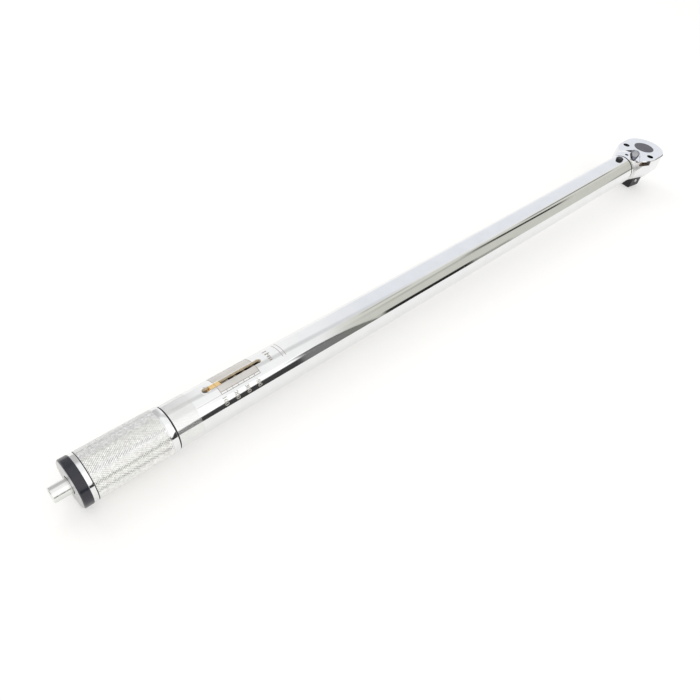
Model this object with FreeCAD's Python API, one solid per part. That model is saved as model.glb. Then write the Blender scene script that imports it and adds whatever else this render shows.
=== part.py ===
import FreeCAD, Part
import os, math
from FreeCAD import Vector as V

# Click-type torque wrench, 3/4 in drive, slot scale in the tube.
# Frame: origin on the drive axis at the height of the tube axis.
# +X along the tube towards the tip of the head, +Y to the left, +Z up;
# the square points down (-Z).  All lengths in millimetres.

# ---- driving dimensions -------------------------------------------------
TUBE_R = 16.0            # outside radius of the tube
TUBE_IR = 13.5           # bore radius of the tube
TUBE_X0 = -51.0          # front end of the tube
SHOULDER_X = -653.7      # where the tube steps down inside the handle
TUBE_HR = 15.0           # radius of the tube inside the handle
TUBE_X1 = -691.0         # rear end of the tube
PIN_X = -62.7            # pivot pin
PIN_R = 4.0
PIN_TOP = 18.3           # top of the pin's button
SLOT_ANG = 3.4           # the scale slot is turned this far about X from the top, deg
SLOT_W = 3.8             # slot width
PTR_HW = 1.8             # half width of the pointer
SLOT_X0 = -622.8         # centre of the wide round rear end of the slot
SLOT_R0 = 2.4            # its radius
SLOT_X1 = -578.8         # centre of the round front end
SLOT_R1 = 2.0
TICK0_X = -615.2         # pointer line at the lowest setting
TICK_PITCH = 4.6         # one scale division
TRAVEL = 32.2            # nut travel, 7 divisions

HEAD_R = 23.4            # radius of the head round the drive axis
HEAD_TOP = 13.06         # flat top of the head
HEAD_SKIRT = -4.0        # where the lower edge starts to draw in
HEAD_BOT = -9.0          # underside of the forging
PLATE_BOT = -11.0        # underside of the cover plate
SCREW_X, SCREW_Y = -14.4, 15.9   # cover screws
GEAR_TIP = 15.5
GEAR_ROOT = 14.2
GEAR_N = 40
GEAR_BORE = 15.8         # chamber round the gear
GEAR_Z0, GEAR_Z1 = -8.6, 8.4
DISC_R = 11.35           # upper journal of the gear, seen in the top of the head
DISC_TOP = 13.0
LOWER_R = 13.2           # lower journal
SQUARE = 19.05           # 3/4 in drive square
SQ_BOT = -35.0
SQ_ROT = -8.0            # the square's angle at rest, deg
LEVER_X = -21.5          # pivot of the reversing lever
LEVER_SWING = 22.0       # each side of the middle, deg
FAN_FLOOR = 11.9         # floor of the recess the lever swings in
FIT = 0.05               # radial play of a running fit

SLEEVE_R = 17.0          # outside radius of the handle
SLEEVE_X0 = -654.2       # front edge of the collar
SLEEVE_X1 = -714.0       # rear edge of the sleeve
GROOVE1_X = -659.0
GROOVE2_X = -710.8
RING_R = 17.15           # black end ring
RING_X1 = -720.3
CAP_X1 = -720.6          # end face
ROD_R = 5.4              # lock rod
ROD_X1 = -732.4
HOLE_R = 6.4             # hole in the end face round the rod
SCREW_R = 7.0            # adjusting screw
PITCH = 2.0

os.makedirs("parts", exist_ok=True)
nodes = {}


def cylx(x0, x1, r, y=0.0, z=0.0):
    return Part.makeCylinder(r, abs(x1 - x0), V(min(x0, x1), y, z), V(1, 0, 0))


def cylz(z0, z1, r, x=0.0, y=0.0):
    return Part.makeCylinder(r, abs(z1 - z0), V(x, y, min(z0, z1)), V(0, 0, 1))


def conex(x0, x1, r0, r1):
    return Part.makeCone(r0, r1, abs(x1 - x0), V(x0, 0, 0), V(1, 0, 0))


def box(x0, x1, y0, y1, z0, z1):
    return Part.makeBox(x1 - x0, y1 - y0, z1 - z0, V(x0, y0, z0))


def rotx(s, deg):
    s = s.copy()
    s.rotate(V(0, 0, 0), V(1, 0, 0), -deg)   # positive turns the top towards +Y
    return s


def rotz(s, deg, c=V(0, 0, 0)):
    s = s.copy()
    s.rotate(c, V(0, 0, 1), deg)
    return s


def revx(pts):
    """Solid turned about X from (x, r) points."""
    p = [V(x, 0, r) for x, r in pts]
    f = Part.Face(Part.makePolygon(p + [p[0]]))
    return f.revolve(V(0, 0, 0), V(1, 0, 0), 360)


def revz(pts, x=0.0, y=0.0):
    p = [V(x + r, y, z) for r, z in pts]
    f = Part.Face(Part.makePolygon(p + [p[0]]))
    return f.revolve(V(x, y, 0), V(0, 0, 1), 360)


def prism(pts, z0, z1):
    p = [V(x, y, z0) for x, y in pts]
    return Part.Face(Part.makePolygon(p + [p[0]])).extrude(V(0, 0, z1 - z0))


def spring(radius, wire, pitch, length):
    """Coil along +Z from z = 0 to z = length, outside measure of the wire."""
    h = length - wire
    helix = Part.makeHelix(pitch, h, radius)
    circ = Part.Wire(Part.makeCircle(wire / 2.0, V(radius, 0, 0), V(0, 1, 0)))
    s = Part.Wire(helix.Edges).makePipeShell([circ], True, True)
    s.translate(V(0, 0, wire / 2.0))
    return s


def along_x(s, x0):
    """Turn a thing built along +Z so it runs from x0 towards +X."""
    s = s.copy()
    s.rotate(V(0, 0, 0), V(0, 1, 0), 90)
    s.translate(V(x0, 0, 0))
    return s


# ---- tube ---------------------------------------------------------------
tube = revx([(TUBE_X0, TUBE_IR + 0.4), (TUBE_X0, TUBE_R - 0.5), (TUBE_X0 - 0.5, TUBE_R),
             (SHOULDER_X, TUBE_R), (SHOULDER_X, TUBE_HR), (TUBE_X1, TUBE_HR),
             (TUBE_X1, TUBE_IR), (TUBE_X0 - 0.4, TUBE_IR)])
slot = cylz(0, 30, SLOT_R0, SLOT_X0).fuse([cylz(0, 30, SLOT_R1, SLOT_X1),
                                           box(SLOT_X0, SLOT_X1, -SLOT_W / 2, SLOT_W / 2, 0, 30)])
tube = tube.cut(rotx(slot, SLOT_ANG))
tube = tube.cut(cylz(-30, 30, PIN_R, PIN_X))
BUSH_SX = -685.0
for s in (1, -1):
    tube = tube.cut(Part.makeCylinder(2.0, 10, V(BUSH_SX, s * 9.0, 0), V(0, s, 0)))
nodes["tube"] = tube

# ---- head forging -------------------------------------------------------
TAPER = 15.5
RT = 30.0


def outline(inset, z, xr=-46.0):
    """Plan of the head: round front, straight cheeks, drawn in to the neck."""
    r = HEAD_R - inset
    a = math.radians(TAPER)
    x1, xb = -14.0, -14.0 - RT * math.sin(a)
    yb = r - RT * (1 - math.cos(a))
    ye = yb - (xb - xr) * math.tan(a)
    xm, ym = -14.0 - RT * math.sin(a / 2), r - RT * (1 - math.cos(a / 2))
    e = [Part.Arc(V(0, -r, z), V(r, 0, z), V(0, r, z)).toShape(),
         Part.LineSegment(V(0, r, z), V(x1, r, z)).toShape(),
         Part.Arc(V(x1, r, z), V(xm, ym, z), V(xb, yb, z)).toShape(),
         Part.LineSegment(V(xb, yb, z), V(xr, ye, z)).toShape(),
         Part.LineSegment(V(xr, ye, z), V(xr, -ye, z)).toShape(),
         Part.LineSegment(V(xr, -ye, z), V(xb, -yb, z)).toShape(),
         Part.Arc(V(xb, -yb, z), V(xm, -ym, z), V(x1, -r, z)).toShape(),
         Part.LineSegment(V(x1, -r, z), V(0, -r, z)).toShape()]
    return Part.Wire(e)


def tier(i0, z0, i1, z1, xr=-46.0):
    if abs(i0 - i1) < 1e-9:
        return Part.Face(outline(i0, z0, xr)).extrude(V(0, 0, z1 - z0))
    return Part.makeLoft([outline(i0, z0, xr), outline(i1, z1, xr)], True, True)


slab = tier(3.0, HEAD_BOT, 0.0, HEAD_SKIRT).fuse([
    tier(0.0, HEAD_SKIRT, 0.0, HEAD_TOP - 0.8), tier(0.0, HEAD_TOP - 0.8, 0.8, HEAD_TOP)])
# the cheeks run out into the round neck inside a cone about the tube axis
env = revx([(-46.5, 0), (-46.5, 15.2), (-16.0, 15.2 + 0.43 * 30.5), (-16.0, 40), (40, 40), (40, 0)])
slab = slab.common(env)
neck = revx([(-49.8, 0), (-49.8, 15.1), (-49.3, 15.6), (-47.3, 15.6), (-46.8, 15.1), (-46.6, 14.7),
             (-46.2, 14.7), (-45.8, 15.1), (-43.5, 15.2), (-30.0, 10.5), (-26.0, 6.0), (-26.0, 0)])
tail_in = revx([(-78.0, 0), (-78.0, 11.8), (-77.0, 12.8), (-49.0, 12.8), (-49.0, 0)])
BAR_HY, BAR_HZ = 5.0, 7.5
TAIL_X = -182.0
bar = box(TAIL_X, -76.0, -BAR_HY, BAR_HY, -BAR_HZ, BAR_HZ)
web = Part.makeLoft([
    Part.makePolygon([V(-98, y, z) for y, z in ((-5, -7.5), (5, -7.5), (5, 7.5), (-5, 7.5), (-5, -7.5))]),
    Part.makePolygon([V(-76, y, z) for y, z in ((-8, -9.5), (8, -9.5), (8, 9.5), (-8, 9.5), (-8, -9.5))])],
    True, True)
head = slab.fuse([neck, tail_in, bar, web])
# seat of the cover plate: the underside is flat as far as the plate's rear edge
head = head.cut(box(-32.0, 5.0, -30, 30, -16, HEAD_BOT))
# chamber for the gear and the pawl, open underneath
head = head.cut(cylz(HEAD_BOT - 1, GEAR_Z1 + 0.3, GEAR_BORE))
head = head.cut(cylz(0, 20, DISC_R + FIT))
POCKET_Z1 = 8.7
pocket = prism([(-12, -11.6), (-18, -11.6), (-19.5, -13.2), (-30.5, -13.2), (-30.5, 13.2),
                (-19.5, 13.2), (-18, 11.6), (-12, 11.6)], HEAD_BOT - 1, POCKET_Z1)
head = head.cut(pocket)
# recess the lever swings in: two walls spreading from the pivot, running out in a ramp at the neck
FA = math.radians(28.5)
FR = 5.5
tx, ty = LEVER_X + FR * math.sin(FA), FR * math.cos(FA)
fl = 30.0
fan = cylz(FAN_FLOOR, 20, FR, LEVER_X).fuse(
    prism([(tx, ty), (tx - fl * math.cos(FA), ty + fl * math.sin(FA)),
           (tx - fl * math.cos(FA), -ty - fl * math.sin(FA)), (tx, -ty)], FAN_FLOOR, 20))
ramp = Part.Face(Part.makePolygon([V(-41.5, -40, 11), V(-41.5, -40, FAN_FLOOR), V(-46.3, -40, 15.3), V(-60, -40, 15.3),
                                   V(-60, -40, 11), V(-41.5, -40, 11)])).extrude(V(0, 80, 0))
fan = fan.cut(ramp)
head = head.cut(fan)
head = head.cut(cylz(5, 15, 3.0 + FIT, LEVER_X))
# small drilled holes for the lever's two positions
for s in (1, -1):
    a = math.radians(180 - s * 17.4)
    head = head.cut(cylz(4.0, 14, 2.0, LEVER_X + 13.4 * math.cos(a), 13.4 * math.sin(a)))
# window in the right cheek: shallow above, beside the lever's recess, and open below
# into the bore of the pawl's plunger
PL_Y, PL_Z = -12.9, 8.5
WIN = [(-42.2, 8.9), (-39.6, 12.15), (-23.6, 12.15), (-23.2, 7.5)]
win = Part.Face(Part.makePolygon([V(x, 0, z) for x, z in WIN + WIN[:1]])).extrude(V(0, -28, 0))
wall = [(x, -(FR * math.cos(FA) + (tx - x) * math.tan(FA) + 0.8)) for x in (-20.0, -45.0)]
upper = prism([(-20, -28), (-20, min(wall[0][1], -7.0)), (-45, wall[1][1]), (-45, -28)], 0, 20)
lower = box(-38.6, -23.6, -28, PL_Y, 0, 10.9)
win = win.common(upper.fuse(lower))
head = head.cut(win)
head = head.cut(cylx(-40.2, -24.0, 2.35, PL_Y, PL_Z))
# cover screws: threaded through, opened out at the top
for s in (1, -1):
    head = head.cut(cylz(-12, 20, 3.0, SCREW_X, s * SCREW_Y))
    head = head.cut(cylz(5.5, 20, 3.7, SCREW_X, s * SCREW_Y))
# pivot bore, and the half-round seat of the click block
head = head.cut(cylz(-20, 20, PIN_R + FIT, PIN_X))
BLOCK_X = TAIL_X + 1.0
head = head.cut(cylz(-20, 20, 4.1, BLOCK_X))
nodes["ratchet_head"] = head

# ---- pivot pin ----------------------------------------------------------
pin = revz([(0, -16.6), (3.5, -16.6), (4.0, -16.1), (4.0, PIN_TOP - 0.6), (3.4, PIN_TOP), (0, PIN_TOP)], PIN_X)
nodes["pivot_pin"] = pin

# ---- cover plate and screws --------------------------------------------
plate = tier(4.0, PLATE_BOT, 3.1, HEAD_BOT, -31.5).cut(cylz(-20, 0, LOWER_R + FIT))
plate = plate.cut(box(-40, -20, 13.6, 30, -20, 0)).cut(box(-40, -20, -30, -13.6, -20, 0))
plate = plate.common(env)
for s in (1, -1):
    plate = plate.cut(revz([(0, -12), (3.65, -12), (3.65, PLATE_BOT), (2.6, HEAD_BOT - 0.4), (2.6, 0), (0, 0)],
                           SCREW_X, s * SCREW_Y))
nodes["cover_plate"] = plate
scr = []
for s in (1, -1):
    b = revz([(0, PLATE_BOT + 0.05), (3.6, PLATE_BOT + 0.05), (2.55, HEAD_BOT - 0.4), (2.55, HEAD_BOT),
              (3.0, HEAD_BOT), (3.0, 4.2), (2.5, 4.9), (0, 4.9)], SCREW_X, s * SCREW_Y)
    hexa = prism([(SCREW_X + 1.7 * math.cos(math.radians(60 * k)), s * SCREW_Y + 1.7 * math.sin(math.radians(60 * k)))
                  for k in range(6)], PLATE_BOT - 0.2, PLATE_BOT + 1.7)
    scr.append(b.cut(hexa))
nodes["cover_screws"] = Part.makeCompound(scr)

# ---- drive gear with square --------------------------------------------
pts = []
for k in range(GEAR_N):
    for f, r in ((0.0, GEAR_ROOT), (0.42, GEAR_TIP), (0.58, GEAR_TIP)):
        a = 2 * math.pi * (k + f) / GEAR_N
        pts.append((r * math.cos(a), r * math.sin(a)))
gear = prism(pts, GEAR_Z0, GEAR_Z1)
gear = gear.fuse(revz([(0, GEAR_Z1 - 1), (DISC_R, GEAR_Z1 - 1), (DISC_R, DISC_TOP - 0.4),
                       (DISC_R - 0.4, DISC_TOP), (0, DISC_TOP)]))
gear = gear.fuse(revz([(0, GEAR_Z0 + 1), (LOWER_R, GEAR_Z0 + 1), (LOWER_R, -11.6), (LOWER_R - 0.5, -12.1), (0, -12.1)]))
h = SQUARE / 2.0
sq = box(-h, h, -h, h, SQ_BOT, -11.0)
# rounded corners and a lead-in at the tip
sq = sq.common(revz([(0, -10), (13.0, -10), (13.0, SQ_BOT + 2.4), (11.2, SQ_BOT), (0, SQ_BOT)]))
tip = [Part.makePolygon([V(a, b, z) for a, b in ((-w, -w), (w, -w), (w, w), (-w, w), (-w, -w))])
       for w, z in ((h - 1.2, SQ_BOT), (h, SQ_BOT + 1.8))]
lead = Part.makeLoft(tip, True, True).fuse(box(-h, h, -h, h, SQ_BOT + 1.8, -10.5))
sq = sq.common(lead)
BALL_Z = -26.5
BALL_C = h + 1.1 - 2.5
sq = sq.cut(Part.makeCylinder(2.5 + FIT, 12.6, V(0, -13, BALL_Z), V(0, 1, 0)))
gear = gear.fuse(sq)
nodes["drive_gear"] = rotz(gear, SQ_ROT)
ball = Part.makeSphere(2.5, V(0, -BALL_C, BALL_Z))
nodes["detent_ball"] = rotz(ball, SQ_ROT)
ds = spring(1.7, 0.6, 1.25, 4.8)
ds.rotate(V(0, 0, 0), V(1, 0, 0), 90)     # runs towards -Y
ds.translate(V(0, -0.6, BALL_Z))
nodes["detent_spring"] = rotz(ds, SQ_ROT)

# ---- pawl ---------------------------------------------------------------
PT, PRT = 16.45, 17.5      # tooth tips and roots of the pawl, at the middle of its swing
pp = []
n0 = 9
step = 2 * math.pi / GEAR_N
for k in range(-4, 5):
    for f, r in ((-0.5, PRT), (-0.08, PT), (0.08, PT)):
        a = math.pi - (k + f) * step
        pp.append((r * math.cos(a), r * math.sin(a)))
a = math.pi - 4.5 * step
pp.append((PRT * math.cos(a), PRT * math.sin(a)))
pp = [p for p in pp if abs(p[1]) < 9.9]
pp.sort(key=lambda p: p[1])
pawl_pts = [(-20.2, -11.4)] + pp + [(-20.2, 11.4), (-27.2, 10.6), (-28.8, 5.0), (-28.8, -5.0), (-27.2, -10.6)]
pawl = prism(pawl_pts, -8.4, 8.2)
pawl = pawl.cut(cylz(-20, 20, 3.35, LEVER_X))
PAWL_TILT = 2.5
nodes["pawl"] = rotz(pawl, PAWL_TILT, V(LEVER_X, 0, 0))

# ---- reversing lever ----------------------------------------------------
LV_Z0 = FAN_FLOOR + 0.15
plan = [(3.6, 0), (3.2, 2.6), (1.6, 4.3), (-2.0, 5.0), (-19.6, 0.9), (-20.4, 0),
        (-19.6, -0.9), (-2.0, -5.0), (1.6, -4.3), (3.2, -2.6)]
body = prism(plan, LV_Z0, 16.0)
# ridge down the middle with sloping facets to both sides, drawn down to a low nose
roof = Part.Face(Part.makePolygon([V(-30, -9, LV_Z0), V(-30, 9, LV_Z0), V(-30, 9, LV_Z0 + 0.2), V(-30, 1.1, LV_Z0 + 2.9),
                                   V(-30, -1.1, LV_Z0 + 2.9), V(-30, -9, LV_Z0 + 0.2), V(-30, -9, LV_Z0)])).extrude(V(40, 0, 0))
side = Part.Face(Part.makePolygon([V(-30, -9, LV_Z0), V(10, -9, LV_Z0), V(10, -9, LV_Z0 + 0.8), V(1.2, -9, LV_Z0 + 2.9),
                                   V(-4.5, -9, LV_Z0 + 2.2), V(-14.0, -9, LV_Z0 + 2.2), V(-20.0, -9, LV_Z0 + 1.1),
                                   V(-30, -9, LV_Z0 + 0.6), V(-30, -9, LV_Z0)])).extrude(V(0, 18, 0))
lever = body.common(roof).common(side)
lever = lever.fuse(cylz(-8.8, LV_Z0 + 0.6, 3.0))
lever.translate(V(LEVER_X, 0, 0))
nodes["reverse_lever"] = rotz(lever, LEVER_SWING, V(LEVER_X, 0, 0))

# ---- plunger that loads the pawl, seen through the window ---------------
nodes["pawl_plunger"] = revx([(-36.0, 0), (-36.0, 1.9), (-33.0, 1.9), (-33.0, 2.15), (-28.2, 2.15), (-27.4, 1.3), (-27.4, 0)])
nodes["pawl_plunger"].translate(V(0, PL_Y, PL_Z))
ps = along_x(spring(1.45, 0.45, 0.9, 3.6), -39.7)
ps.translate(V(0, PL_Y, PL_Z))
nodes["pawl_spring"] = ps

# ---- click block, plunger, push rod, spring -----------------------------
BLOCK_L = 12.0
blk = cylz(-6.5, 6.5, 4.0, BLOCK_X)
prof = prism([(BLOCK_X + 1.0, -3.2), (BLOCK_X - BLOCK_L - 2, -3.2), (BLOCK_X - BLOCK_L - 2, 3.2), (BLOCK_X + 1.0, 3.2)], -6.5, 6.5)
blk = blk.fuse(prof.common(cylz(-7, 7, BLOCK_L, BLOCK_X)))
nodes["click_block"] = blk
PLG_X0 = BLOCK_X - BLOCK_L - 0.3
plg = revx([(PLG_X0 - 38, 0), (PLG_X0 - 38, TUBE_IR - 1.0), (PLG_X0 - 37, TUBE_IR - 0.08), (PLG_X0 - 22, TUBE_IR - 0.08),
            (PLG_X0 - 21, 12.2), (PLG_X0 - 13, 12.2), (PLG_X0 - 12, TUBE_IR - 0.08), (PLG_X0 - 0.8, TUBE_IR - 0.08),
            (PLG_X0, TUBE_IR - 0.9), (PLG_X0, 0)])
plg = plg.cut(cylx(PLG_X0 - 40, PLG_X0 - 30, 8.0))
nodes["plunger"] = plg
SEAT_X = -400.0
nodes["push_rod"] = revx([(PLG_X0 - 30, 0), (PLG_X0 - 30, 8.0), (SEAT_X + 6, 8.0), (SEAT_X + 6, 0)])
nodes["spring_seat"] = revx([(SEAT_X - 10, 0), (SEAT_X - 10, 6.8), (SEAT_X - 9, 7.6), (SEAT_X, 7.6), (SEAT_X, 13.2),
                             (SEAT_X + 6, 13.2), (SEAT_X + 6, 0)])
NUT_X0 = TICK0_X + 9.0
NUT_X1 = TICK0_X - 9.0
WASH = 2.5
S0 = NUT_X0 + WASH
nodes["main_spring"] = along_x(spring(10.6, 4.6, 7.6, SEAT_X - S0), S0)
nodes["nut_washer"] = cylx(NUT_X0, S0, 13.1).cut(cylx(NUT_X0 - 1, S0 + 1, SCREW_R + 0.6))

# ---- travelling nut and pointer -----------------------------------------
PTR_X0, PTR_X1 = TICK0_X - 4.4, TICK0_X + 4.3
nut = cylx(NUT_X1, NUT_X0, TUBE_IR - 0.08).cut(cylx(NUT_X1 - 1, NUT_X0 + 1, SCREW_R + FIT))
nut = nut.cut(rotx(box(PTR_X0 - 1.4, PTR_X1, -PTR_HW, PTR_HW, 10.6, 20), SLOT_ANG))
nodes["travelling_nut"] = nut
PTR_TOP = 15.8
ptr = box(PTR_X0, PTR_X1, -PTR_HW, PTR_HW, 10.6, PTR_TOP).fuse(box(PTR_X0 - 1.4, PTR_X0 + 0.5, -PTR_HW, PTR_HW, 10.6, 13.2))
ptr = ptr.cut(box(TICK0_X - 0.22, TICK0_X + 0.22, -3, 3, PTR_TOP - 0.35, 16))
e = [ed for ed in ptr.Edges if abs(ed.BoundBox.ZMin - PTR_TOP) < 1e-6 and ed.BoundBox.XLength < 0.01
     and (abs(ed.BoundBox.XMin - PTR_X0) < 0.01 or abs(ed.BoundBox.XMin - PTR_X1) < 0.01)]
ptr = ptr.makeChamfer(0.35, e)
nodes["pointer"] = rotx(ptr, SLOT_ANG)

# ---- adjusting screw ----------------------------------------------------
COL_X0, COL_X1 = -673.0, -677.0
HUB_X0, HUB_X1 = -693.6, -699.8
BUSH_X0 = -679.2
th = [(COL_X0, SCREW_R - 0.9)]
x = COL_X0
x_end = -572.5
while x + PITCH <= x_end + 1e-6:
    th += [(x + 0.2 * PITCH, SCREW_R - 0.9), (x + 0.5 * PITCH, SCREW_R), (x + 0.62 * PITCH, SCREW_R), (x + 0.92 * PITCH, SCREW_R - 0.9)]
    x += PITCH
scr_pts = [(HUB_X1, 0), (HUB_X1, 4.5), (HUB_X0 + 0.3, 4.5), (HUB_X0 + 0.3, SCREW_R), (COL_X1, SCREW_R), (COL_X1, 10.4),
           (COL_X0, 10.4)] + th + [(x_end, SCREW_R - 0.9), (x_end + 0.9, SCREW_R - 1.8), (x_end + 0.9, 0)]
asc = revx(scr_pts)
# flats on the rear end, driven by the hub
asc = asc.cut(box(HUB_X1 - 1, HUB_X0 + 0.3, 3.6, 8, -8, 8)).cut(box(HUB_X1 - 1, HUB_X0 + 0.3, -8, -3.6, -8, 8))
HPX = (HUB_X0 + HUB_X1) / 2
pinhole = Part.makeCylinder(1.5, 40, V(HPX, 0, -20), V(0, 0, 1))
asc = asc.cut(pinhole)
nodes["adjusting_screw"] = asc
nodes["thrust_washer"] = cylx(BUSH_X0, COL_X1 - 0.2, 12.0).cut(cylx(-700, -600, SCREW_R + 0.3))
bush = cylx(TUBE_X1, BUSH_X0, TUBE_IR).cut(cylx(-700, -600, SCREW_R + FIT))
gs = []
for s in (1, -1):
    hole = Part.makeCylinder(2.0, 10, V(BUSH_SX, s * 9.0, 0), V(0, s, 0))
    bush = bush.cut(hole)
    g = Part.makeCylinder(2.0, TUBE_HR - 0.4 - 9.0, V(BUSH_SX, s * 9.0, 0), V(0, s, 0))
    hx = Part.Face(Part.makePolygon([V(BUSH_SX + 1.1 * math.cos(math.radians(60 * k)), s * 15.5, 1.1 * math.sin(math.radians(60 * k)))
                                     for k in list(range(6)) + [0]])).extrude(V(0, -s * 2.9, 0))
    gs.append(g.cut(hx))
nodes["end_bush"] = bush
nodes["bush_screws"] = Part.makeCompound(gs)

# ---- handle -------------------------------------------------------------
BORE = TUBE_HR + 0.08
R = SLEEVE_R
slv = revx([(SLEEVE_X0, BORE), (SLEEVE_X0, R - 0.45), (SLEEVE_X0 - 0.45, R), (GROOVE1_X + 0.45, R),
            (GROOVE1_X + 0.2, R - 0.45), (GROOVE1_X - 0.2, R - 0.45), (GROOVE1_X - 0.45, R),
            (GROOVE2_X + 0.45, R), (GROOVE2_X + 0.2, R - 0.45), (GROOVE2_X - 0.2, R - 0.45), (GROOVE2_X - 0.45, R),
            (SLEEVE_X1, R), (SLEEVE_X1, 14.0), (-700.0, 14.0), (-700.0, BORE)])
nodes["handle_sleeve"] = slv
hub = cylx(HUB_X1, HUB_X0, BORE)
socket = cylx(HUB_X1 - 1, HUB_X0 + 1, 4.5).cut(box(-720, -680, 3.6, 8, -8, 8)).cut(box(-720, -680, -8, -3.6, -8, 8))
hub = hub.cut(socket).cut(pinhole.common(cylx(-720, -680, 12.0)))
nodes["drive_hub"] = hub
nodes["hub_pin"] = Part.makeCylinder(1.5, 22, V(HPX, 0, -11), V(0, 0, 1))
cap = revx([(CAP_X1, HOLE_R), (CAP_X1, 16.2), (CAP_X1 + 0.25, 16.45), (RING_X1, 16.45), (RING_X1, 14.9), (SLEEVE_X1, 14.9),
            (SLEEVE_X1, 14.0), (-703.5, 14.0), (-703.5, 9.0), (-711.2, 9.0), (-711.2, ROD_R + 0.06), (-717.0, ROD_R + 0.06),
            (-717.0, HOLE_R)])
nodes["end_cap"] = cap
ring = revx([(RING_X1, 14.9), (RING_X1, RING_R - 0.7), (RING_X1 + 0.7, RING_R), (SLEEVE_X1 - 0.35, RING_R),
             (SLEEVE_X1, RING_R - 0.35), (SLEEVE_X1, 14.9)])
nodes["end_ring"] = ring
rod = revx([(ROD_X1, 0), (ROD_X1, ROD_R - 0.5), (ROD_X1 + 0.5, ROD_R), (-710.8, ROD_R), (-710.8, 4.4), (-709.6, 4.4),
            (-709.6, ROD_R - 0.2), (-708.6, ROD_R - 0.2), (-708.6, 3.2), (-706.6, 3.2), (-706.6, 0)])
nodes["lock_rod"] = rod
nodes["rod_clip"] = cylx(-710.8, -709.6, 8.2).cut(cylx(-720, -700, 4.4)).cut(box(-712, -700, -1.2, 1.2, 0, 12))
nodes["lock_spring"] = along_x(spring(4.4, 0.8, 1.95, 8.6), -708.5)

# ---- write --------------------------------------------------------------
for name, shape in nodes.items():
    if shape.ShapeType == "Compound" and len(shape.Solids) == 1:
        shape = shape.Solids[0]
    try:
        s2 = shape.removeSplitter()
        if s2.isValid():
            shape = s2
    except Exception:
        pass
    bb = shape.BoundBox
    print("%-16s solids=%d valid=%s vol=%.1f  x[%.2f %.2f] y[%.2f %.2f] z[%.2f %.2f]" % (
        name, len(shape.Solids), shape.isValid(), shape.Volume, bb.XMin, bb.XMax, bb.YMin, bb.YMax, bb.ZMin, bb.ZMax))
    shape.exportStep("parts/%s.step" % name)
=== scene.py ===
import math
import bpy
import numpy as np
from mathutils import Matrix, Vector


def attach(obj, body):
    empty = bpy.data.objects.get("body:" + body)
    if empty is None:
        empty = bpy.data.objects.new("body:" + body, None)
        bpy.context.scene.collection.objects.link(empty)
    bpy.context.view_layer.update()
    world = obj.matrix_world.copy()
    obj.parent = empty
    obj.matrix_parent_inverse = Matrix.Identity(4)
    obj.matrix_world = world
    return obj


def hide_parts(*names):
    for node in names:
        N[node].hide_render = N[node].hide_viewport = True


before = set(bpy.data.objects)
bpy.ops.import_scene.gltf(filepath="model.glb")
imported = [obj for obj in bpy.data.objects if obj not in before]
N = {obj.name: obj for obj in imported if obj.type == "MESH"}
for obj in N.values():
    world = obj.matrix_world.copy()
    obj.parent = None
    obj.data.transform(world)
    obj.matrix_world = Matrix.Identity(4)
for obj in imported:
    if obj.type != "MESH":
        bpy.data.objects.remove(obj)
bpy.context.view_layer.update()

MM = 0.001

# ---------------------------------------------------------------- materials
def nodes_of(m):
    m.use_nodes = True
    nt = m.node_tree
    b = nt.nodes["Principled BSDF"]
    return nt, b


def coords(nt, scale=(1, 1, 1)):
    tc = nt.nodes.new("ShaderNodeTexCoord")
    mp = nt.nodes.new("ShaderNodeMapping")
    mp.inputs["Scale"].default_value = scale
    nt.links.new(tc.outputs["Object"], mp.inputs["Vector"])
    return mp.outputs["Vector"]


def noise(nt, vec, scale, detail=4, rough=0.55):
    n = nt.nodes.new("ShaderNodeTexNoise")
    n.inputs["Scale"].default_value = scale
    n.inputs["Detail"].default_value = detail
    n.inputs["Roughness"].default_value = rough
    nt.links.new(vec, n.inputs["Vector"])
    return n.outputs["Fac"]


def ramp(nt, fac, stops):
    r = nt.nodes.new("ShaderNodeValToRGB")
    e = r.color_ramp.elements
    while len(e) < len(stops):
        e.new(0.5)
    for el, (p, c) in zip(e, stops):
        el.position = p
        el.color = (c, c, c, 1) if not isinstance(c, tuple) else (*c, 1)
    nt.links.new(fac, r.inputs["Fac"])
    return r.outputs["Color"]


def maprange(nt, fac, a, b):
    r = nt.nodes.new("ShaderNodeMapRange")
    r.inputs["From Min"].default_value = 0.3
    r.inputs["From Max"].default_value = 0.7
    r.inputs["To Min"].default_value = a
    r.inputs["To Max"].default_value = b
    nt.links.new(fac, r.inputs["Value"])
    return r.outputs["Result"]


def bump(nt, b, fac, strength, dist):
    bp = nt.nodes.new("ShaderNodeBump")
    bp.inputs["Strength"].default_value = strength
    bp.inputs["Distance"].default_value = dist
    nt.links.new(fac, bp.inputs["Height"])
    nt.links.new(bp.outputs["Normal"], b.inputs["Normal"])
    return bp


def metal(name, c0, c1, r0, r1, grain=(1, 1, 1), gscale=900, bstr=0.05, bdist=0.00002, cscale=60, metallic=1.0):
    """Metal with a wandering tint, a roughness that varies over the surface and a fine grain."""
    m = bpy.data.materials.new(name)
    nt, b = nodes_of(m)
    b.inputs["Metallic"].default_value = metallic
    v = coords(nt, grain)
    fine = noise(nt, v, gscale, 5)
    big = noise(nt, coords(nt), cscale, 3)
    nt.links.new(ramp(nt, big, ((0.3, c0), (0.7, c1))), b.inputs["Base Color"])
    nt.links.new(maprange(nt, fine, r0, r1), b.inputs["Roughness"])
    bump(nt, b, fine, bstr, bdist)
    return m


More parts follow.
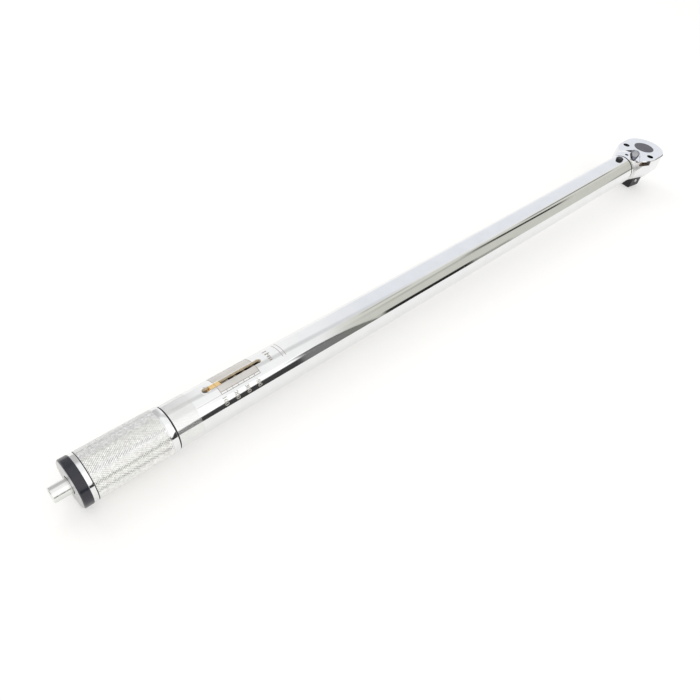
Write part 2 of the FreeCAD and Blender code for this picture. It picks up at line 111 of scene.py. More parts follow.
M = {}
M["chrome"] = metal("chrome", (0.80, 0.81, 0.815), (0.84, 0.845, 0.85), 0.035, 0.075, gscale=700, bstr=0.02, bdist=0.00001)
M["chrome_head"] = metal("chrome_head", (0.80, 0.81, 0.82), (0.84, 0.85, 0.86), 0.05, 0.10, gscale=500, bstr=0.03, bdist=0.00001)
M["chrome_knurl"] = metal("chrome_knurl", (0.70, 0.70, 0.685), (0.93, 0.93, 0.915), 0.09, 0.16, gscale=650, bstr=0.22, bdist=0.00004, cscale=620)
M["satin"] = metal("satin_plate", (0.62, 0.63, 0.64), (0.70, 0.71, 0.72), 0.22, 0.34, grain=(1, 8, 8), gscale=400, bstr=0.06)
M["lever"] = metal("lever_metal", (0.15, 0.16, 0.185), (0.23, 0.245, 0.28), 0.07, 0.15, gscale=700, bstr=0.06)
M["disc"] = metal("gear_face", (0.115, 0.110, 0.125), (0.155, 0.150, 0.170), 0.34, 0.48, gscale=900, bstr=0.10)
M["black"] = metal("black_oxide", (0.012, 0.012, 0.013), (0.03, 0.03, 0.032), 0.30, 0.46, gscale=800, bstr=0.10, metallic=0.6)
M["steel"] = metal("turned_steel", (0.42, 0.42, 0.43), (0.55, 0.55, 0.56), 0.22, 0.36, grain=(6, 1, 1), gscale=300, bstr=0.10)
M["dark_steel"] = metal("dark_steel", (0.16, 0.15, 0.14), (0.25, 0.24, 0.22), 0.32, 0.48, grain=(6, 1, 1), gscale=300, bstr=0.12)
M["spring"] = metal("oiled_spring", (0.40, 0.34, 0.26), (0.52, 0.45, 0.36), 0.30, 0.45, gscale=500, bstr=0.10, metallic=0.7)
M["brass"] = metal("brass", (0.83, 0.58, 0.27), (0.90, 0.66, 0.33), 0.22, 0.34, grain=(1, 6, 1), gscale=500, bstr=0.10)
M["cap"] = metal("turned_silver", (0.50, 0.50, 0.50), (0.58, 0.58, 0.575), 0.26, 0.38, gscale=700, bstr=0.08)
M["rod"] = metal("rod_plating", (0.76, 0.77, 0.75), (0.82, 0.83, 0.81), 0.14, 0.24, grain=(1, 5, 5), gscale=500, bstr=0.05)
M["etch"] = metal("etched_mark", (0.31, 0.28, 0.24), (0.40, 0.36, 0.32), 0.50, 0.65, gscale=1500, bstr=0.2, metallic=0.6)
M["etch_pale"] = metal("etched_number", (0.50, 0.48, 0.44), (0.58, 0.56, 0.52), 0.42, 0.55, gscale=1500, bstr=0.2)
M["etch_zone"] = metal("etched_zone", (0.66, 0.64, 0.61), (0.74, 0.72, 0.69), 0.34, 0.46, gscale=1500, bstr=0.15)
M["slot_wall"] = metal("slot_wall", (0.80, 0.70, 0.54), (0.88, 0.78, 0.62), 0.40, 0.55, gscale=700, bstr=0.08, metallic=0.3)
M["bore"] = metal("tube_bore", (0.36, 0.29, 0.21), (0.46, 0.38, 0.29), 0.40, 0.55, gscale=500, bstr=0.10, metallic=0.5)
# near-black painted shade: laid where shade falls, on the tube's front end in the head, the groove before the grip, the
# grip's front face and rear groove, the head's neck socket, the wall of the end cap's hole and the lever's sides
M["gap"] = metal("deep_gap", (0.010, 0.010, 0.011), (0.018, 0.018, 0.019), 0.45, 0.60, gscale=800, bstr=0.10, metallic=0.2)
# dark brown painted shade for the walls inside the head's side window
M["hollow"] = metal("machined_hollow", (0.10, 0.085, 0.075), (0.30, 0.25, 0.21), 0.30, 0.45, gscale=600, bstr=0.15, cscale=260, metallic=0.3)
M["plunger_brass"] = metal("dull_brass", (0.62, 0.47, 0.35), (0.74, 0.58, 0.45), 0.30, 0.42, grain=(1, 6, 1), gscale=500, bstr=0.10, metallic=0.15)
M["chrome_soft"] = metal("chrome_ground", (0.70, 0.70, 0.69), (0.76, 0.76, 0.75), 0.34, 0.44, gscale=500, bstr=0.06)
# lighter copy of the lever's metal: painted highlight for the lever's flat top
M["lever_painted_highlight"] = metal("lever_painted_highlight", (0.36, 0.35, 0.34), (0.46, 0.45, 0.44), 0.22, 0.32, gscale=700, bstr=0.10)
M["knurl_fine"] = metal("knurl_fine", (0.78, 0.785, 0.78), (0.83, 0.83, 0.825), 0.06, 0.11, gscale=900, bstr=0.05)

ring = bpy.data.materials.new("ring_black")
nt, b = nodes_of(ring)
v = coords(nt)
nt.links.new(ramp(nt, noise(nt, v, 90, 3), ((0.3, (0.010, 0.011, 0.018)), (0.7, (0.020, 0.021, 0.032)))), b.inputs["Base Color"])
fine = noise(nt, v, 900, 5)
nt.links.new(maprange(nt, fine, 0.13, 0.21), b.inputs["Roughness"])
bump(nt, b, fine, 0.08, 0.00002)
M["ring"] = ring


def use(obj, mat):
    obj.data.materials.clear()
    obj.data.materials.append(mat)


def smooth(obj, angle=30):
    me = obj.data
    me.polygons.foreach_set("use_smooth", np.ones(len(me.polygons), bool))
    me.set_sharp_from_angle(angle=math.radians(angle))
    me.update()


for name, mat in {
    "ratchet_head": "chrome_head", "pivot_pin": "black", "cover_plate": "satin", "cover_screws": "black",
    "drive_gear": "disc", "detent_ball": "steel", "detent_spring": "spring", "pawl": "dark_steel",
    "reverse_lever": "lever", "pawl_plunger": "plunger_brass", "pawl_spring": "spring", "click_block": "steel",
    "plunger": "steel", "push_rod": "steel", "spring_seat": "dark_steel", "main_spring": "spring",
    "nut_washer": "steel", "travelling_nut": "dark_steel", "pointer": "brass", "adjusting_screw": "steel",
    "thrust_washer": "brass", "end_bush": "dark_steel", "bush_screws": "black", "drive_hub": "dark_steel",
    "hub_pin": "steel", "end_cap": "cap", "end_ring": "ring", "lock_rod": "rod", "rod_clip": "spring",
    "lock_spring": "spring", "tube": "chrome", "handle_sleeve": "chrome_knurl",
}.items():
    use(N[name], M[mat])


# ------------------------------------------------------------- mesh helpers
class Builder:
    """Collects points with their own normals, then makes one mesh object."""

    def __init__(self):
        self.v, self.n, self.f, self.m = [], [], [], []

    def add(self, pts, nrm):
        base = sum(len(a) for a in self.v)
        self.v.append(np.asarray(pts, float).reshape(-1, 3))
        self.n.append(np.asarray(nrm, float).reshape(-1, 3))
        return base

    def grid(self, pts, nrm, close_u=False, flip=False, mat=0):
        """pts[i][j]; close_u joins the last row of i to the first."""
        pts = np.asarray(pts, float)
        a, c = pts.shape[:2]
        base = self.add(pts, nrm)
        for i in range(a if close_u else a - 1):
            k = (i + 1) % a
            for j in range(c - 1):
                q = (base + i * c + j, base + i * c + j + 1, base + k * c + j + 1, base + k * c + j)
                self.f.append(q[::-1] if flip else q)
                self.m.append(mat)

    def tris(self, pts, nrm, faces, mat=0):
        base = self.add(pts, nrm)
        for t in faces:
            self.f.append(tuple(base + k for k in t))
            self.m.append(mat)

    def build(self, name, mats, keep_normals=True):
        v = np.vstack(self.v)
        n = np.vstack(self.n)
        # every face winds so that it looks the way its normals do
        for i, f in enumerate(self.f):
            a, b_, c = v[f[0]], v[f[1]], v[f[2]]
            g = np.cross(b_ - a, c - a)
            if len(f) == 4 and float(g @ g) < 1e-16:
                g = np.cross(c - a, v[f[3]] - a)
            if float(g @ n[list(f)].sum(0)) < 0:
                self.f[i] = tuple(f[::-1])
        me = bpy.data.meshes.new(name)
        me.from_pydata((v * MM).tolist(), [], self.f)
        for mt in mats:
            me.materials.append(mt)
        me.polygons.foreach_set("material_index", np.array(self.m, np.int32))
        me.polygons.foreach_set("use_smooth", np.ones(len(me.polygons), bool))
        me.update()
        if keep_normals:
            me.normals_split_custom_set_from_vertices(n.tolist())
        o = bpy.data.objects.new(name, me)
        bpy.context.scene.collection.objects.link(o)
        return o


def ring_dir(th):
    return np.stack([np.zeros_like(th), np.sin(th), np.cos(th)], -1)


def lathe(B, prof, seg=192, mat=0, th=None, close=True):
    """Surface turned about X from (x, r) points, one flat or conical strip per pair, with its true normals.
    The points run so that the outside is on their left when x falls."""
    if th is None:
        th = np.arange(seg) * 2 * math.pi / seg
    d = ring_dir(th)
    for (x0, r0), (x1, r1) in zip(prof[:-1], prof[1:]):
        L = math.hypot(x1 - x0, r1 - r0)
        nx, nr = (r1 - r0) / L, -(x1 - x0) / L
        pts = np.stack([np.concatenate([np.full((len(th), 1), x0), d[:, 1:] * r0], 1),
                        np.concatenate([np.full((len(th), 1), x1), d[:, 1:] * r1], 1)], 1)
        nn = np.concatenate([np.full((len(th), 1), nx), d[:, 1:] * nr], 1)
        B.grid(pts, np.stack([nn, nn], 1), close_u=close, mat=mat)


def rounded(prof, r=0.25, steps=4):
    """Rounds the inner corners of an open profile."""
    out = [prof[0]]
    for a, b_, c in zip(prof[:-2], prof[1:-1], prof[2:]):
        a, b_, c = map(np.array, (a, b_, c))
        la, lc = np.linalg.norm(a - b_), np.linalg.norm(c - b_)
        k = min(r, la * 0.45, lc * 0.45)
        p, q = b_ + (a - b_) / la * k, b_ + (c - b_) / lc * k
        for t in np.linspace(0, 1, steps + 1):
            out.append(tuple((1 - t) ** 2 * p + 2 * t * (1 - t) * b_ + t * t * q))
    out.append(prof[-1])
    return out


def lathe_smooth(B, prof, seg=192, mat=0):
    """Turned surface whose normals run smoothly along the profile."""
    th = np.arange(seg) * 2 * math.pi / seg
    d = ring_dir(th)
    p = np.array(prof, float)
    seg_n = []
    for a, c in zip(p[:-1], p[1:]):
        L = max(np.linalg.norm(c - a), 1e-9)
        seg_n.append(((c[1] - a[1]) / L, -(c[0] - a[0]) / L))
    seg_n = np.array(seg_n)
    vn = np.zeros_like(p)
    vn[:-1] += seg_n
    vn[1:] += seg_n
    vn /= np.linalg.norm(vn, axis=1, keepdims=True)
    pts = np.zeros((seg, len(p), 3))
    nn = np.zeros((seg, len(p), 3))
    pts[:, :, 0] = p[None, :, 0]
    nn[:, :, 0] = vn[None, :, 0]
    for k in (1, 2):
        pts[:, :, k] = d[:, k, None] * p[None, :, 1]
        nn[:, :, k] = d[:, k, None] * vn[None, :, 1]
    B.grid(pts, nn, close_u=True, mat=mat)


def knurl(B, x0, x1, r_hi, r_lo, count, rows, mat=0, flat=0.6):
    """Diamond knurl from x0 down to x1: flat-topped diamonds at r_hi between crossing grooves down to r_lo.
    Diamonds at the ends are cut off square."""
    dx = (x1 - x0) / rows
    h = math.pi / count
    lo_x, hi_x = min(x0, x1), max(x0, x1)

    def at(x, a, r):
        return np.array((min(max(x, lo_x), hi_x), r * math.sin(a), r * math.cos(a)))

    P, NN, F = [], [], []
    for j in range(rows + 1):
        for i in range(count):
            k = 2 * i + (j % 2)
            xc, ac = x0 + j * dx, k * h
            out = [at(xc + ex * dx, ac + ea * h, r_lo) for ex, ea in ((1, 0), (0, 1), (-1, 0), (0, -1))]
            top = [at(xc + ex * dx * flat, ac + ea * h * flat, r_hi) for ex, ea in ((1, 0), (0, 1), (-1, 0), (0, -1))]
            b0 = len(P)
            P += top
            NN += [np.array((0.0, t[1], t[2])) / r_hi for t in top]
            F.append((b0, b0 + 1, b0 + 2, b0 + 3))
            for q in range(4):
                a, b_, c, d = out[q], out[(q + 1) % 4], top[(q + 1) % 4], top[q]
                n = np.cross(c - a, d - b_)
                L = np.linalg.norm(n)
                if L < 1e-6:
                    continue
                n /= L
                mid = (a + b_ + c + d) / 4
                if n[1] * mid[1] + n[2] * mid[2] < 0:
                    n = -n
                b0 = len(P)
                P += [a, b_, c, d]
                NN += [n] * 4
                F.append((b0, b0 + 1, b0 + 2, b0 + 3))
    B.tris(P, NN, F, mat)


# --------------------------------------------------------------------- tube
R, RI, RH = 16.0, 13.5, 15.0
X_FRONT, X_SH, X_REAR = -51.0, -653.7, -691.0
SLOT_A = math.radians(3.4)
SX0, SR0, SX1, SR1, SHW = -622.8, 2.4, -578.8, 2.0, 1.9
EDGE = 0.2                                  # chamfer round the slot; it widens to a dish at the rear end
GX0, GX1, GS = -632.0, -572.0, 30           # window of the tube's surface that holds the slot: x range, half angle in deg


def edge_w(x):
    """Width of the chamfer at x."""
    t = min(max((-617.5 - x) / 5.0, 0.0), 1.0)
    return EDGE + 1.0 * t * t * (3 - 2 * t)


def outline_for(x, s, grow):
    """The point (x, s) of the slot's edge, moved out by grow, that a point of the window's rim looks at."""
    if x < SX0:
        ang = math.atan2(s, x - SX0)
        return SX0 + (SR0 + grow) * math.cos(ang), (SR0 + grow) * math.sin(ang)
    if x > SX1:
        ang = math.atan2(s, x - SX1)
        return SX1 + (SR1 + grow) * math.cos(ang), (SR1 + grow) * math.sin(ang)
    w = SHW + grow
    for cx, cr in ((SX0, SR0 + grow), (SX1, SR1 + grow)):
        if abs(x - cx) < cr:
            w = max(w, math.sqrt(cr * cr - (x - cx) ** 2))
    return x, math.copysign(w, s)


th_step = math.radians(2.0)
n_win = int(round(2 * GS / 2))
th_win = SLOT_A + np.radians(np.linspace(-GS, GS, n_win + 1))
n_rest = 180 - n_win
th_rest = SLOT_A + np.radians(np.linspace(GS, 360 - GS, n_rest + 1))
x_win = np.linspace(GX0, GX1, 121)


def cyl(x, s_over_r, r):
    a = SLOT_A + s_over_r
    return (x, r * math.sin(a), r * math.cos(a)), (0, math.sin(a), math.cos(a))


def tube_skin(B, r, flip, mat):
    # window: rings between the slot's edge and the window's rim
    rim = []
    for x in x_win:
        rim.append((x, math.radians(GS) * R))
    for a in np.linspace(GS, -GS, n_win + 1)[1:]:
        rim.append((GX1, math.radians(a) * R))
    for x in x_win[::-1][1:]:
        rim.append((x, -math.radians(GS) * R))
    for a in np.linspace(-GS, GS, n_win + 1)[1:-1]:
        rim.append((GX0, math.radians(a) * R))
    inner = [outline_for(x, s, 0.0 if flip else edge_w(x)) for x, s in rim]
    K = 14
    P = np.zeros((len(rim), K + 1, 3))
    NN = np.zeros_like(P)
    for i, (o, q) in enumerate(zip(rim, inner)):
        for k in range(K + 1):
            t = k / K
            x, s = q[0] * (1 - t) + o[0] * t, q[1] * (1 - t) + o[1] * t
            p, n = cyl(x, s / R, r)
            P[i, k] = p
            NN[i, k] = n if not flip else [-c for c in n]
    B.grid(P, NN, close_u=True, flip=flip, mat=mat)
    # the rest of the tube over the window's length
    d = ring_dir(th_rest)
    P = np.zeros((len(th_rest), len(x_win), 3))
    NN = np.zeros_like(P)
    P[:, :, 0] = x_win[None]
    for k in (1, 2):
        P[:, :, k] = (d[:, k] * r)[:, None]
        NN[:, :, k] = d[:, k][:, None] * (-1 if flip else 1)
    B.grid(P, NN, flip=not flip, mat=mat)
    return rim, inner


def tube_run(B, x0, x1, r, mat=0, flip=False, n=2):
    th = np.concatenate([th_win[:-1], th_rest[:-1]])
    d = ring_dir(th)
    xs = np.linspace(x0, x1, n)
    P = np.zeros((len(th), n, 3))
    NN = np.zeros_like(P)
    P[:, :, 0] = xs[None]
    for k in (1, 2):
        P[:, :, k] = (d[:, k] * r)[:, None]
        NN[:, :, k] = d[:, k][:, None] * (-1 if flip else 1)
    B.grid(P, NN, close_u=True, flip=flip == (x0 > x1), mat=mat)


B = Builder()
rim, inner = tube_skin(B, R, False, 0)
tube_skin(B, RI, True, 2)
# chamfer round the slot, and its wall
edge0 = [outline_for(x, s, edge_w(x)) for x, s in rim]
edge1 = [outline_for(x, s, 0.0) for x, s in rim]
P = np.zeros((len(rim), 2, 3))
NN = np.zeros_like(P)
W = np.zeros((len(rim), 2, 3))
WN = np.zeros_like(W)
for i in range(len(rim)):
    p0, n0 = cyl(edge0[i][0], edge0[i][1] / R, R)
    p1, n1 = cyl(edge1[i][0], edge1[i][1] / R, R - 0.2)
    p2, n2 = cyl(edge1[i][0], edge1[i][1] / R, RI)
    j, k = (i + 1) % len(rim), (i - 1) % len(rim)
    tx, ts = edge1[j][0] - edge1[k][0], edge1[j][1] - edge1[k][1]
    L = math.hypot(tx, ts) or 1.0
    ox, os_ = ts / L, -tx / L                       # towards the slot's middle
    a = SLOT_A + edge1[i][1] / R
    out = np.array([ox, os_ * math.cos(a), -os_ * math.sin(a)])
    mid_x = min(max(edge1[i][0], SX0), SX1)
    if (mid_x - edge1[i][0]) * ox + (0 - edge1[i][1]) * os_ < 0:
        out = -out
    P[i] = (p0, p1)
    wd = edge_w(rim[i][0])
    nn = np.array(n0) * wd + out * 0.2
    NN[i] = [nn / np.linalg.norm(nn)] * 2
    W[i] = (p1, p2)
    WN[i] = [out] * 2
B.grid(P, NN, close_u=True, flip=True, mat=0)
B.grid(W, WN, close_u=True, flip=True, mat=1)
# plain runs of the tube before and behind the window
KX0, KX1 = -635.2, -653.0
tube_run(B, GX1, X_FRONT - 1.1, R, n=3)
# the tube's front chamfer and end face are painted near-black shade, where the tube meets the head
lathe_smooth(B, [(X_FRONT, R - 0.5), (X_FRONT - 0.3, R - 0.3), (X_FRONT - 0.7, R - 0.12), (X_FRONT - 1.1, R)], 180, mat=4)
lathe(B, [(X_FRONT, RI + 0.4), (X_FRONT, R - 0.5)], 180, mat=4)
lathe(B, [(X_FRONT - 0.4, RI), (X_FRONT, RI + 0.4)], 180)
tube_run(B, KX0, GX0, R)
lathe(B, [(KX0, R), (KX0, R - 0.05)], 180)
knurl(B, KX0 - 0.02, KX1, R, R - 0.05, 84, 22, mat=3, flat=0.84)
# the step from the knurl band into the groove, the shoulder and the rear inside the grip are painted near-black shade
lathe(B, [(KX1, R), (KX1, R - 0.6), (X_SH, R - 0.6), (X_SH, RH), (X_REAR + 0.5, RH), (X_REAR, RH - 0.5), (X_REAR, RI)], 180, mat=4)
tube_run(B, GX1, X_FRONT - 0.4, RI, mat=2, flip=True)
tube_run(B, X_REAR, GX0, RI, mat=2, flip=True)
tube = B.build("tube_shell", [M["chrome"], M["slot_wall"], M["bore"], M["knurl_fine"], M["gap"]])
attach(tube, "tube_body")
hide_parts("tube")

# ------------------------------------------------------------- grip sleeve
B = Builder()
SR = 17.0
X0, G1, G2, X1 = -654.2, -659.0, -710.8, -714.0
BORE = 15.08
KD = 0.15
# the grip's front face is painted near-black shade, where it faces the gap at the collar
lathe(B, [(X0, BORE), (X0, SR - 0.3)], 240, mat=2)
lathe_smooth(B, rounded([(X0, SR - 0.5), (X0, SR), (G1 + 0.35, SR), (G1 + 0.3, SR - 0.3)], 0.3), 240)
lathe(B, [(G1 + 0.32, SR - 0.15), (G1 + 0.25, SR - 0.3), (G1 - 0.15, SR - 0.3), (G1 - 0.25, SR - KD)], 240, mat=0)
knurl(B, G1 - 0.25, G2 + 0.4, SR, SR - KD, 76, 52, mat=1, flat=0.50)
# the groove behind the knurl is painted near-black shade
lathe(B, [(G2 + 0.4, SR - KD), (G2 + 0.3, SR - 0.45), (G2 - 0.05, SR - 0.45), (G2 - 0.15, SR - 0.15)], 240, mat=2)
lathe_smooth(B, rounded([(G2 - 0.1, SR - 0.3), (G2 - 0.15, SR), (X1, SR), (X1, 14.0)], 0.25), 240)
lathe(B, [(X1, 14.0), (-700.0, 14.0), (-700.0, BORE), (X0, BORE)], 120)
sleeve = B.build("grip_sleeve", [M["chrome"], M["chrome_knurl"], M["gap"]])
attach(sleeve, "handle")
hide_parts("handle_sleeve")

# ------------------------------------------------------- marks on the tube
def patch(B, x0, x1, a0, a1, r=16.012, mat=0, nx=2, na=None):
    """Thin curved patch on the tube: x from x0 to x1, angle from a0 to a1 in deg."""
    na = na or max(2, int(abs(a1 - a0) / 1.5) + 2)
    P = np.zeros((na, nx, 3))
    NN = np.zeros_like(P)
    for i, a in enumerate(np.radians(np.linspace(a0, a1, na))):
        for j, x in enumerate(np.linspace(x0, x1, nx)):
            P[i, j] = (x, r * math.sin(a), r * math.cos(a))
            NN[i, j] = (0, math.sin(a), math.cos(a))
    B.grid(P, NN, flip=(x1 > x0) == (a1 > a0), mat=mat)


def deg(mm):
    return math.degrees(mm / R)


TX0, TP = -615.2, 4.6
CA = 7.4
IN_R, OUT_R = -22.3, -28.3
IN_L, OUT_L = 2 * CA - IN_R, 2 * CA - OUT_R
B = Builder()
LW = 0.40
SC = math.degrees(SLOT_A)
for side, inn, outn in ((-1, IN_R, OUT_R), (1, IN_L, OUT_L)):
    for a in (inn, outn):
        patch(B, TX0 - LW / 2, TX0 + 7 * TP + LW / 2, a - deg(LW / 2), a + deg(LW / 2), na=3)
    for k in range(8):
        x = TX0 + k * TP
        if k in (0, 7):
            a0 = SC + side * deg(SHW + 0.45)
            patch(B, x - LW / 2, x + LW / 2, a0, outn)
        else:
            patch(B, x - LW / 2, x + LW / 2, inn, outn)
# the outer line runs on towards the grip
patch(B, -634.8, TX0, OUT_R - deg(0.09), OUT_R + deg(0.09), na=3)
for x in (-561.2, -558.4):
    patch(B, x - 0.2, x + 0.2, -21, 34)
marks = B.build("scale_lines", [M["etch"]])
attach(marks, "tube_body")

# matte zone each side of the slot, between the ladders
B = Builder()
for side, inn in ((-1, IN_R), (1, IN_L)):
    a0 = SC + side * deg(SHW + 0.24)
    patch(B, TX0, TX0 + 7 * TP, a0, inn, r=16.006)
zone = B.build("scale_ground", [M["etch_zone"]])
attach(zone, "tube_body")


def curved_text(body, x_mid, a_mid, height, width, name, mat):
    """Lettering laid on the tube: reads round the tube away from the slot, tops towards the head."""
    cu = bpy.data.curves.new(name, "FONT")
    cu.body = body
    cu.align_x = "CENTER"
    cu.align_y = "CENTER"
    cu.size = 1.0
    cu.offset = 0.034
    o = bpy.data.objects.new(name, cu)
    bpy.context.scene.collection.objects.link(o)
    bpy.context.view_layer.update()
    me = bpy.data.meshes.new_from_object(o.evaluated_get(bpy.context.evaluated_depsgraph_get()))
    bpy.data.objects.remove(o)
    co = np.array([v.co for v in me.vertices])
    mn, mx = co.min(0), co.max(0)
    u = (co[:, 0] - (mn[0] + mx[0]) / 2) / (mx[0] - mn[0]) * width
    v = (co[:, 1] - (mn[1] + mx[1]) / 2) / (mx[1] - mn[1]) * height
    a = math.radians(a_mid) - u / R
    pts = np.stack([x_mid + v, 16.012 * np.sin(a), 16.012 * np.cos(a)], 1)
    nrm = np.stack([np.zeros_like(a), np.sin(a), np.cos(a)], 1)
    faces = [tuple(p.vertices) for p in me.polygons]
    bpy.data.meshes.remove(me)
    m2 = bpy.data.meshes.new(name)
    m2.from_pydata((pts * MM).tolist(), [], faces)
    m2.materials.append(mat)
    m2.polygons.foreach_set("use_smooth", np.ones(len(m2.polygons), bool))
    m2.update()
    m2.normals_split_custom_set_from_vertices(nrm.tolist())
    ob = bpy.data.objects.new(name, m2)
    bpy.context.scene.collection.objects.link(ob)
    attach(ob, "tube_body")
    return ob


for k, txt in ((0, "100"), (2, "200"), (4, "300"), (6, "400")):
    curved_text(txt, TX0 + k * TP + 0.4, -47.5, 3.4, 6.0, "number_" + txt, M["etch_pale"])
curved_text("N·m", -569.6, 4.5, 3.9, 10.4, "unit_mark", M["etch"])

# ------------------------------------------------ CAD pieces that are shown
for n in ("ratchet_head", "cover_plate", "drive_gear", "reverse_lever", "pivot_pin", "cover_screws", "end_ring", "end_cap",
          "lock_rod", "pointer", "pawl_plunger", "detent_ball", "travelling_nut", "adjusting_screw", "main_spring", "push_rod",
          "plunger", "pawl", "rod_clip", "lock_spring", "pawl_spring", "detent_spring", "click_block", "spring_seat",
          "nut_washer", "thrust_washer", "end_bush", "bush_screws", "drive_hub", "hub_pin"):
    smooth(N[n], 32)


def by_face(obj, mat, test):
    """A second material on the faces for which test(centre in mm, normal) holds."""
    me = obj.data
    me.materials.append(mat)
    idx = len(me.materials) - 1
    mw = obj.matrix_world
    for p in me.polygons:
        if test(mw @ p.center / MM, (mw.to_3x3() @ p.normal).normalized()):
            p.material_index = idx


# the head's neck socket round the tube's end is painted near-black shade
by_face(N["ratchet_head"], M["gap"], lambda c, n: -80 < c.x < -49.35)
by_face(N["drive_gear"], M["black"], lambda c, n: c.z < -10.5)
# the wall of the end cap's hole round the rod is painted near-black shade
by_face(N["end_cap"], M["gap"], lambda c, n: math.hypot(c.y, c.z) < 6.8 and n.x > -0.5)


def in_window(c, n):
    """Walls inside the side window and the plunger's bore, not the outer cheek."""
    if not (-42.3 < c.x < -23.0 and -20.5 < c.y < -9.9 and 5.9 < c.z < 12.1):
        return False
    flank = 22.3 - (-22.0 - c.x) * math.tan(math.radians(15.5))
    cone = 15.2 + 0.43 * (c.x + 46.5)
    return -c.y < flank - 0.35 and math.hypot(c.y, c.z) < cone - 0.3


# walls inside the side window are painted a dark brown shade
by_face(N["ratchet_head"], M["hollow"], in_window)
by_face(N["ratchet_head"], M["chrome_soft"],
        lambda c, n: -46.4 < c.x < -33.0 and c.y < 0 and abs(math.hypot(c.y, c.z) - (15.2 + 0.43 * (c.x + 46.5))) < 0.3)
# the lever's flat top is painted lighter as a highlight, and its sides near-black as shade
by_face(N["reverse_lever"], M["lever_painted_highlight"], lambda c, n: n.z > 0.985)
by_face(N["reverse_lever"], M["gap"], lambda c, n: n.z < 0.4)
for n, w in (("ratchet_head", 0.00035), ("reverse_lever", 0.00018), ("pointer", 0.00015), ("cover_plate", 0.0002)):
    bv = N[n].modifiers.new("edge", "BEVEL")
    bv.width = w
    bv.segments = 3
    bv.limit_method = "ANGLE"
    bv.angle_limit = math.radians(30)
    bv.harden_normals = True

# -------------------------------------------------------------------- stage
K = 17.85 / (719.4 - 9.6)
tilt = math.atan(K)
zc = -17.15 - (-300 + 719.4) * K
me = bpy.data.meshes.new("floor")
s = 6.0
ux = Vector((math.cos(tilt), 0, -math.sin(tilt)))
uy = Vector((0, 1, 0))
c = Vector((-0.3, 0, zc * MM))
me.from_pydata([c - ux * s - uy * s, c + ux * s - uy * s, c + ux * s + uy * s, c - ux * s + uy * s], [], [(0, 1, 2, 3)])
floor = bpy.data.objects.new("floor", me)
bpy.context.scene.collection.objects.link(floor)
fm = bpy.data.materials.new("floor_white")
nt, b = nodes_of(fm)
b.inputs["Roughness"].default_value = 0.9
b.inputs["Specular IOR Level"].default_value = 0.1
v = coords(nt)
nt.links.new(ramp(nt, noise(nt, v, 3, 2), ((0.3, (0.535, 0.531, 0.520)), (0.7, (0.555, 0.551, 0.540)))), b.inputs["Base Color"])
b.inputs["Emission Color"].default_value = (1.0, 0.995, 0.985, 1.0)
b.inputs["Emission Strength"].default_value = 0.45
me.materials.append(fm)

# studio surround: a bright room with a dark strip low on the near side and a grey panel above it
w = bpy.data.worlds.new("studio")
bpy.context.scene.world = w
w.use_nodes = True
nt = w.node_tree
bg = nt.nodes["Background"]
tc = nt.nodes.new("ShaderNodeTexCoord")
sep = nt.nodes.new("ShaderNodeSeparateXYZ")
nt.links.new(tc.outputs["Generated"], sep.inputs[0])


def mth(op, a, b_=None, c_=None, clamp=False):
    m = nt.nodes.new("ShaderNodeMath")
    m.operation = op
    m.use_clamp = clamp
    for i, q in enumerate((a, b_, c_)):
        if q is None:
            continue
        if isinstance(q, (int, float)):
            m.inputs[i].default_value = q
        else:
            nt.links.new(q, m.inputs[i])
    return m.outputs[0]


def step(x, a, b_):
    """0 below a, 1 above b, smooth between."""
    m = nt.nodes.new("ShaderNodeMapRange")
    m.interpolation_type = "SMOOTHSTEP"
    m.inputs["From Min"].default_value = min(a, b_)
    m.inputs["From Max"].default_value = max(a, b_)
    m.inputs["To Min"].default_value = 0.0 if a < b_ else 1.0
    m.inputs["To Max"].default_value = 1.0 if a < b_ else 0.0
    nt.links.new(x, m.inputs["Value"])
    return m.outputs["Result"]


def window(x, a0, a1, b0, b1):
    return mth("MULTIPLY", step(x, a0, a1), step(x, b1, b0))


def mixv(fac, a, b_):
    """a where fac is 0, b where it is 1."""
    return mth("ADD", mth("MULTIPLY", mth("SUBTRACT", 1.0, fac), a), mth("MULTIPLY", fac, b_))


rx = sep.outputs[0]
psi = mth("MULTIPLY", mth("ARCTAN2", sep.outputs[1], sep.outputs[2]), 180 / math.pi)   # 0 up, -90 to the near side


def lin(x, k, c):
    """k x + c"""
    return mth("ADD", mth("MULTIPLY", x, k), c)


def mul(*a):
    o = a[0]
    for q in a[1:]:
        o = mth("MULTIPLY", o, q)
    return o


# open sky of the studio, a little dimmer towards the head's end
L = mixv(step(rx, 0.42, 0.60), mth("ADD", 1.08, 0.0), 0.93)
# low overhead of the grip's end
L = mixv(mul(step(psi, 18, 40), step(rx, 0.34, 0.22)), L, 0.62)
# grey band that comes down from overhead towards the near side
t = mth("ADD", lin(rx, 120, -64.8), psi)
L = mixv(mul(window(t, -16, -3, 4, 20), step(rx, 0.18, 0.28), step(rx, 0.70, 0.60)), L, 0.79)
# warm grey panel on the near side
pan = mul(window(psi, -96, -90, -14, -6), step(rx, 0.49, 0.57))
warm = pan
L = mixv(pan, L, 0.74)
L = mixv(mul(window(psi, -96, -90, -34, -28), step(rx, 0.50, 0.60)), L, 0.665)
# bright wedge
L = mixv(mul(window(psi, -70, -64, -44, -36), step(rx, 0.50, 0.46)), L, 1.30)
L = mixv(mul(window(psi, -74, -66, -28, -8), step(rx, 0.36, 0.27)), L, 1.30)
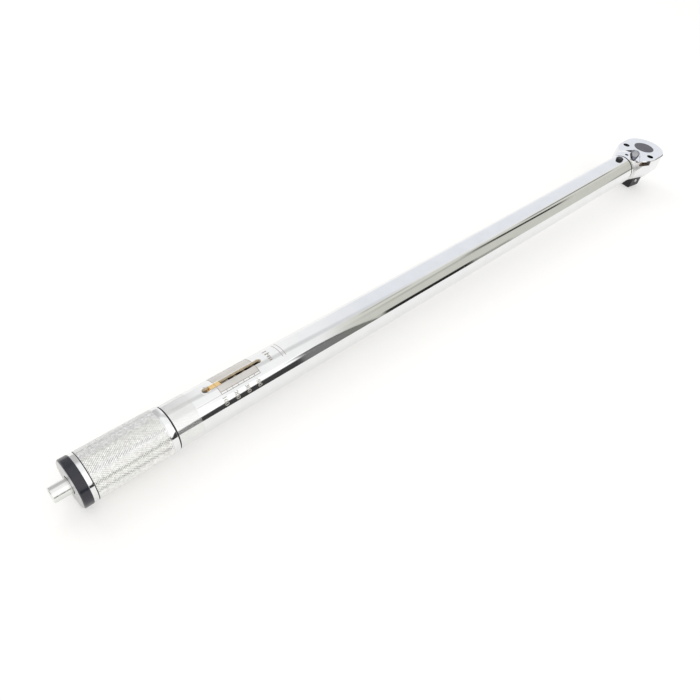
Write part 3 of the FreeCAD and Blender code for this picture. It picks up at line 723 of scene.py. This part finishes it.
# dark furniture low on the near side: black block, brown part with a curved top, second black block
top = lin(rx, 47, -82.0)                          # -68 at 0.30, -60 at 0.47
topg = mixv(step(rx, 0.30, 0.16), top, -79.0)
up = mth("SUBTRACT", psi, topg)
A = mul(step(psi, -93, -90.5), step(up, 2.0, -1.5), step(rx, 0.475, 0.465), step(rx, -0.35, -0.05))
tt = mth("MULTIPLY", mth("SUBTRACT", rx, 0.495), 1 / 0.095, clamp=True)
curve = mth("ADD", lin(tt, -14, -46.0), mth("MULTIPLY", mth("POWER", tt, 3.0), -34.0))
dcv = mth("SUBTRACT", psi, curve)
Bn = mul(step(psi, -93, -90.5), step(dcv, 1.5, -1.5), step(rx, 0.455, 0.475), step(rx, 0.600, 0.590))
L = mixv(Bn, L, 0.22)
edge = mul(window(dcv, -7, -4, 0, 4), step(rx, 0.43, 0.48), step(rx, 0.600, 0.592), step(psi, -93, -90))
L = mixv(mth("MULTIPLY", edge, 0.8), L, 0.12)
L = mixv(A, L, 0.055)
L = mixv(mul(window(psi, -94, -91.5, -76, -72.5), step(rx, 0.592, 0.598), step(rx, 0.722, 0.716)), L, 0.022)
L = mixv(mul(window(psi, -94, -91, -80, -74), step(rx, 0.714, 0.720), step(rx, 0.766, 0.758)), L, 0.40)
# dim end of the room past the head
L = mixv(mul(window(psi, -125, -112, -16, -4), step(rx, 0.868, 0.895)), L, 0.16)
L = mixv(mul(window(psi, -94, -91.5, -85, -79), step(rx, 0.850, 0.862), step(rx, 0.885, 0.878)), L, 0.30)
# thin dark line and two fainter ones higher up
dl = mth("SUBTRACT", psi, lin(rx, -125, 65.9))
df = mth("SUBTRACT", psi, lin(rx, 60, -72.5))
L = mixv(mul(window(dl, -8, -3.5, 3.5, 8), step(rx, 0.70, 0.74), step(rx, 0.826, 0.810)), L, 0.05)
L = mixv(mul(window(df, -7, -3, 3, 7), step(rx, 0.52, 0.66), step(rx, 0.76, 0.73), 0.50), L, 0.35)
L = mixv(mul(window(psi, -20, -16, -13, -9), step(rx, 0.770, 0.790), step(rx, 0.862, 0.855)), L, 0.26)
L = mixv(mul(window(psi, -19, -16, -13, -10), step(rx, 0.565, 0.575), step(rx, 0.645, 0.635), 0.7), L, 0.40)
comb = nt.nodes.new("ShaderNodeCombineXYZ")
cool = mul(step(psi, -8, 8), step(rx, 0.45, 0.62))
nt.links.new(mth("MULTIPLY", L, mixv(cool, 1.0, 0.975)), comb.inputs[0])
nt.links.new(mth("MULTIPLY", L, 0.995), comb.inputs[1])
nt.links.new(mth("MULTIPLY", L, mixv(cool, mixv(warm, 0.992, 0.905), 1.045)), comb.inputs[2])
nt.links.new(comb.outputs[0], bg.inputs["Color"])
bg.inputs["Strength"].default_value = 1.0


def area(name, loc, target, size, power):
    li = bpy.data.lights.new(name, "AREA")
    li.shape = "DISK"
    li.size = size
    li.energy = power
    o = bpy.data.objects.new(name, li)
    o.location = loc
    o.rotation_euler = (Vector(target) - Vector(loc)).to_track_quat("-Z", "Y").to_euler()
    bpy.context.scene.collection.objects.link(o)
    o.visible_glossy = False
    return o


area("key", (-0.55, 1.1, 1.2), (-0.36, 0, 0), 1.0, 6.0)

# ------------------------------------------------------------------- camera
cam = bpy.data.cameras.new("camera")
cam.sensor_fit = "HORIZONTAL"
cam.sensor_width = 36.0
cam.lens = 31.878
cam.clip_start, cam.clip_end = 0.01, 50
co = bpy.data.objects.new("camera", cam)
right = Vector((0.72427, -0.67958, 0.11666)).normalized()
up = Vector((0.43912, 0.58504, 0.68184)).normalized()
fwd = right.cross(up) * -1
back = -fwd
up = back.cross(right).normalized()
co.matrix_world = Matrix(((right.x, up.x, back.x, -0.761095), (right.y, up.y, back.y, -0.232664),
                          (right.z, up.z, back.z, 0.345074), (0, 0, 0, 1)))
bpy.context.scene.collection.objects.link(co)
bpy.context.scene.camera = co
sc = bpy.context.scene
sc.view_settings.view_transform = "Standard"
sc.view_settings.look = "None"
sc.view_settings.exposure = 0.0
sc.view_settings.gamma = 1.0
